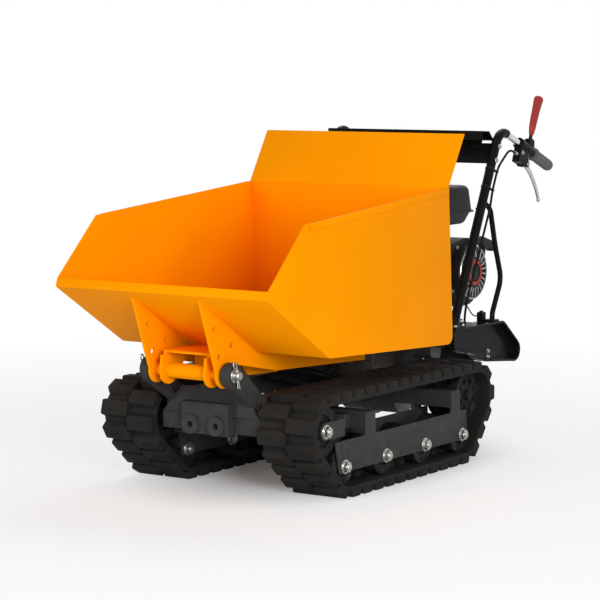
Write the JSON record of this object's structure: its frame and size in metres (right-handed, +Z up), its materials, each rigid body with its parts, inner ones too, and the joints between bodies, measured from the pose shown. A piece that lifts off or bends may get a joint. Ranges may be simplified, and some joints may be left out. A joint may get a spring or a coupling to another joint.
{
  "type": "tracked power carrier",
  "caption": "Walk-behind tracked carrier with a hydraulic forward-tipping sheet steel skip, rubber tracks, rear petrol engine and long handlebars with levers.",
  "frame": {"origin": "On the ground under the middle of the machine's bounding box", "axes": "+Z up; -Y towards the front, the way the skip tips; +X towards the machine's left side"},
  "size_m": [0.712, 1.6742, 1.0781],
  "materials": {
    "chassis_paint": "satin dark grey paint",
    "wheel_steel": "satin dark grey paint, worn where it runs",
    "track_rubber": "moulded black rubber",
    "zinc": "zinc plated",
    "chrome": "bright plated",
    "black_paint": "satin black powder coat",
    "black_plastic": "moulded black plastic",
    "grey_plastic": "moulded grey plastic",
    "hose_rubber": "black rubber",
    "grip_rubber": "ribbed grey-black rubber",
    "cast_alloy": "as-cast grey",
    "pulley_steel": "turned steel",
    "muffler_steel": "heat-resistant dark paint",
    "skip_paint": "gloss orange powder coat",
    "lever_red": "red dipped coating"
  },
  "bodies": {
    "chassis": {"chassis_frame": "chassis_paint", "front_box": "chassis_paint", "track_frame_left": "chassis_paint", "track_frame_right": "chassis_paint", "idler_forks": "chassis_paint", "engine_rails": "chassis_paint", "track_belt_left": "track_rubber", "track_belt_right": "track_rubber", "axle_bolts": "zinc", "frame_bolts": "zinc", "drive_rod": "zinc", "return_spring": "zinc", "hinge_pin": "zinc", "handlebars": "chrome", "rear_guards": "black_paint", "handle_tubes": "black_paint", "console": "black_paint", "cross_panel": "black_paint", "rear_stays": "black_paint", "belt_guard": "black_paint", "lever_perches": "black_paint", "fuel_tank": "black_plastic", "air_cleaner": "black_plastic", "fan_housing": "black_plastic", "hydraulic_tank": "black_plastic", "recoil_cover": "grey_plastic", "hydraulic_hoses": "hose_rubber", "control_cable": "hose_rubber", "drive_belt": "hose_rubber", "grips": "grip_rubber", "gearbox": "cast_alloy", "engine_block": "cast_alloy", "hydraulic_pump": "cast_alloy", "valve_block": "cast_alloy", "muffler": "muffler_steel"},
    "skip": {"skip_shell": "skip_paint", "skip_brackets": "skip_paint"},
    "ram_barrel": {"ram_barrel": "black_paint"},
    "ram_rod": {"ram_rod": "chrome"},
    "engine_pulley": {"engine_pulley": "pulley_steel"},
    "gearbox_pulley": {"gearbox_pulley": "pulley_steel"},
    "recoil_grip": {"recoil_grip": "black_plastic"},
    "fuel_cap": {"fuel_cap": "black_plastic"},
    "steer_lever_left": {"steer_lever_left": "chrome"},
    "steer_lever_right": {"steer_lever_right": "chrome"},
    "drive_lever": {"drive_lever": "lever_red"},
    "gear_lever": {"gear_lever": "black_paint"},
    "valve_lever": {"valve_lever": "black_paint"},
    "sprocket_left": {"sprocket_left": "wheel_steel"},
    "idler_left": {"idler_left": "wheel_steel"},
    "roller_left_1": {"roller_left_1": "wheel_steel"},
    "roller_left_2": {"roller_left_2": "wheel_steel"},
    "roller_left_3": {"roller_left_3": "wheel_steel"},
    "roller_left_4": {"roller_left_4": "wheel_steel"},
    "sprocket_right": {"sprocket_right": "wheel_steel"},
    "idler_right": {"idler_right": "wheel_steel"},
    "roller_right_1": {"roller_right_1": "wheel_steel"},
    "roller_right_2": {"roller_right_2": "wheel_steel"},
    "roller_right_3": {"roller_right_3": "wheel_steel"},
    "roller_right_4": {"roller_right_4": "wheel_steel"}
  },
  "joints": [
    {"name": "skip_tip", "type": "hinge", "parent": "chassis", "child": "skip", "pos_m": [0, -0.694, 0.351], "axis": [1, 0, 0], "range_deg": [0, 75]},
    {"name": "ram_swing", "type": "hinge", "parent": "chassis", "child": "ram_barrel", "pos_m": [0, 0.1, 0.215], "axis": [-1, 0, 0], "range_deg": [0, 17.2]},
    {"name": "ram_extend", "type": "slide", "parent": "ram_barrel", "child": "ram_rod", "axis": [0, -0.969, 0.2472], "range_m": [0, 0.322]},
    {"name": "drive_left", "type": "hinge", "parent": "chassis", "child": "sprocket_left", "pos_m": [0.266, 0.268, 0.195], "axis": [1, 0, 0], "continuous": true, "deforming": ["track_belt_left"]},
    {"name": "idler_left_spin", "type": "hinge", "parent": "chassis", "child": "idler_left", "pos_m": [0.266, -0.537, 0.195], "axis": [1, 0, 0], "continuous": true},
    {"name": "roller_left_1_spin", "type": "hinge", "parent": "chassis", "child": "roller_left_1", "pos_m": [0.266, -0.44078, 0.086], "axis": [1, 0, 0], "continuous": true},
    {"name": "roller_left_2_spin", "type": "hinge", "parent": "chassis", "child": "roller_left_2", "pos_m": [0.266, -0.22552, 0.086], "axis": [1, 0, 0], "continuous": true},
    {"name": "roller_left_3_spin", "type": "hinge", "parent": "chassis", "child": "roller_left_3", "pos_m": [0.266, -0.01026, 0.086], "axis": [1, 0, 0], "continuous": true},
    {"name": "roller_left_4_spin", "type": "hinge", "parent": "chassis", "child": "roller_left_4", "pos_m": [0.266, 0.205, 0.086], "axis": [1, 0, 0], "continuous": true},
    {"name": "drive_right", "type": "hinge", "parent": "chassis", "child": "sprocket_right", "pos_m": [-0.266, 0.268, 0.195], "axis": [1, 0, 0], "continuous": true, "deforming": ["track_belt_right"]},
    {"name": "idler_right_spin", "type": "hinge", "parent": "chassis", "child": "idler_right", "pos_m": [-0.266, -0.537, 0.195], "axis": [1, 0, 0], "continuous": true},
    {"name": "roller_right_1_spin", "type": "hinge", "parent": "chassis", "child": "roller_right_1", "pos_m": [-0.266, -0.44078, 0.086], "axis": [1, 0, 0], "continuous": true},
    {"name": "roller_right_2_spin", "type": "hinge", "parent": "chassis", "child": "roller_right_2", "pos_m": [-0.266, -0.22552, 0.086], "axis": [1, 0, 0], "continuous": true},
    {"name": "roller_right_3_spin", "type": "hinge", "parent": "chassis", "child": "roller_right_3", "pos_m": [-0.266, -0.01026, 0.086], "axis": [1, 0, 0], "continuous": true},
    {"name": "roller_right_4_spin", "type": "hinge", "parent": "chassis", "child": "roller_right_4", "pos_m": [-0.266, 0.205, 0.086], "axis": [1, 0, 0], "continuous": true},
    {"name": "gearbox_pulley_spin", "type": "hinge", "parent": "chassis", "child": "gearbox_pulley", "pos_m": [-0.15, 0.34, 0.325], "axis": [1, 0, 0], "continuous": true},
    {"name": "engine_pulley_spin", "type": "hinge", "parent": "chassis", "child": "engine_pulley", "pos_m": [-0.15, 0.55, 0.533], "axis": [1, 0, 0], "continuous": true},
    {"name": "recoil_pull", "type": "slide", "parent": "chassis", "child": "recoil_grip", "axis": [0, 0.2756, 0.9613], "range_m": [0, 0.1], "stiffness_N_per_m": 60, "springref_m": -0.05},
    {"name": "fuel_cap_turn", "type": "hinge", "parent": "chassis", "child": "fuel_cap", "pos_m": [0.04, 0.45, 0.815], "axis": [0, 0, 1], "range_deg": [0, 90]},
    {"name": "steer_left", "type": "hinge", "parent": "chassis", "child": "steer_lever_left", "pos_m": [0.29, 0.67046, 0.86678], "axis": [1, 0, 0], "range_deg": [0, 18], "stiffness_Nm_per_rad": 2, "springref_deg": -11.46},
    {"name": "steer_right", "type": "hinge", "parent": "chassis", "child": "steer_lever_right", "pos_m": [-0.29, 0.67046, 0.86678], "axis": [1, 0, 0], "range_deg": [0, 18], "stiffness_Nm_per_rad": 2, "springref_deg": -11.46},
    {"name": "drive_engage", "type": "hinge", "parent": "chassis", "child": "drive_lever", "pos_m": [0.29, 0.70072, 0.93444], "axis": [1, 0, 0], "range_deg": [-80, 0], "stiffness_Nm_per_rad": 0.6, "springref_deg": 22.92},
    {"name": "gear_select", "type": "hinge", "parent": "chassis", "child": "gear_lever", "pos_m": [-0.12, 0.48203, 0.89267], "axis": [1, 0, 0], "range_deg": [-15, 15]},
    {"name": "valve_shift", "type": "hinge", "parent": "chassis", "child": "valve_lever", "pos_m": [-0.2305, 0.272, 0.621], "axis": [1, 0, 0], "range_deg": [-8, 8], "stiffness_Nm_per_rad": 120}
  ],
  "couplings": [
    {"joint": "ram_swing", "follows": "skip_tip", "ratio": 0.2252},
    {"joint": "ram_extend", "follows": "skip_tip", "m_per_rad": 0.24306},
    {"joint": "idler_left_spin", "follows": "drive_left", "ratio": 1},
    {"joint": "roller_left_1_spin", "follows": "drive_left", "ratio": 1.3036},
    {"joint": "roller_left_2_spin", "follows": "drive_left", "ratio": 1.3036},
    {"joint": "roller_left_3_spin", "follows": "drive_left", "ratio": 1.3036},
    {"joint": "roller_left_4_spin", "follows": "drive_left", "ratio": 1.3036},
    {"joint": "idler_right_spin", "follows": "drive_right", "ratio": 1},
    {"joint": "roller_right_1_spin", "follows": "drive_right", "ratio": 1.3036},
    {"joint": "roller_right_2_spin", "follows": "drive_right", "ratio": 1.3036},
    {"joint": "roller_right_3_spin", "follows": "drive_right", "ratio": 1.3036},
    {"joint": "roller_right_4_spin", "follows": "drive_right", "ratio": 1.3036},
    {"joint": "engine_pulley_spin", "follows": "gearbox_pulley_spin", "ratio": 1.3135}
  ]
}
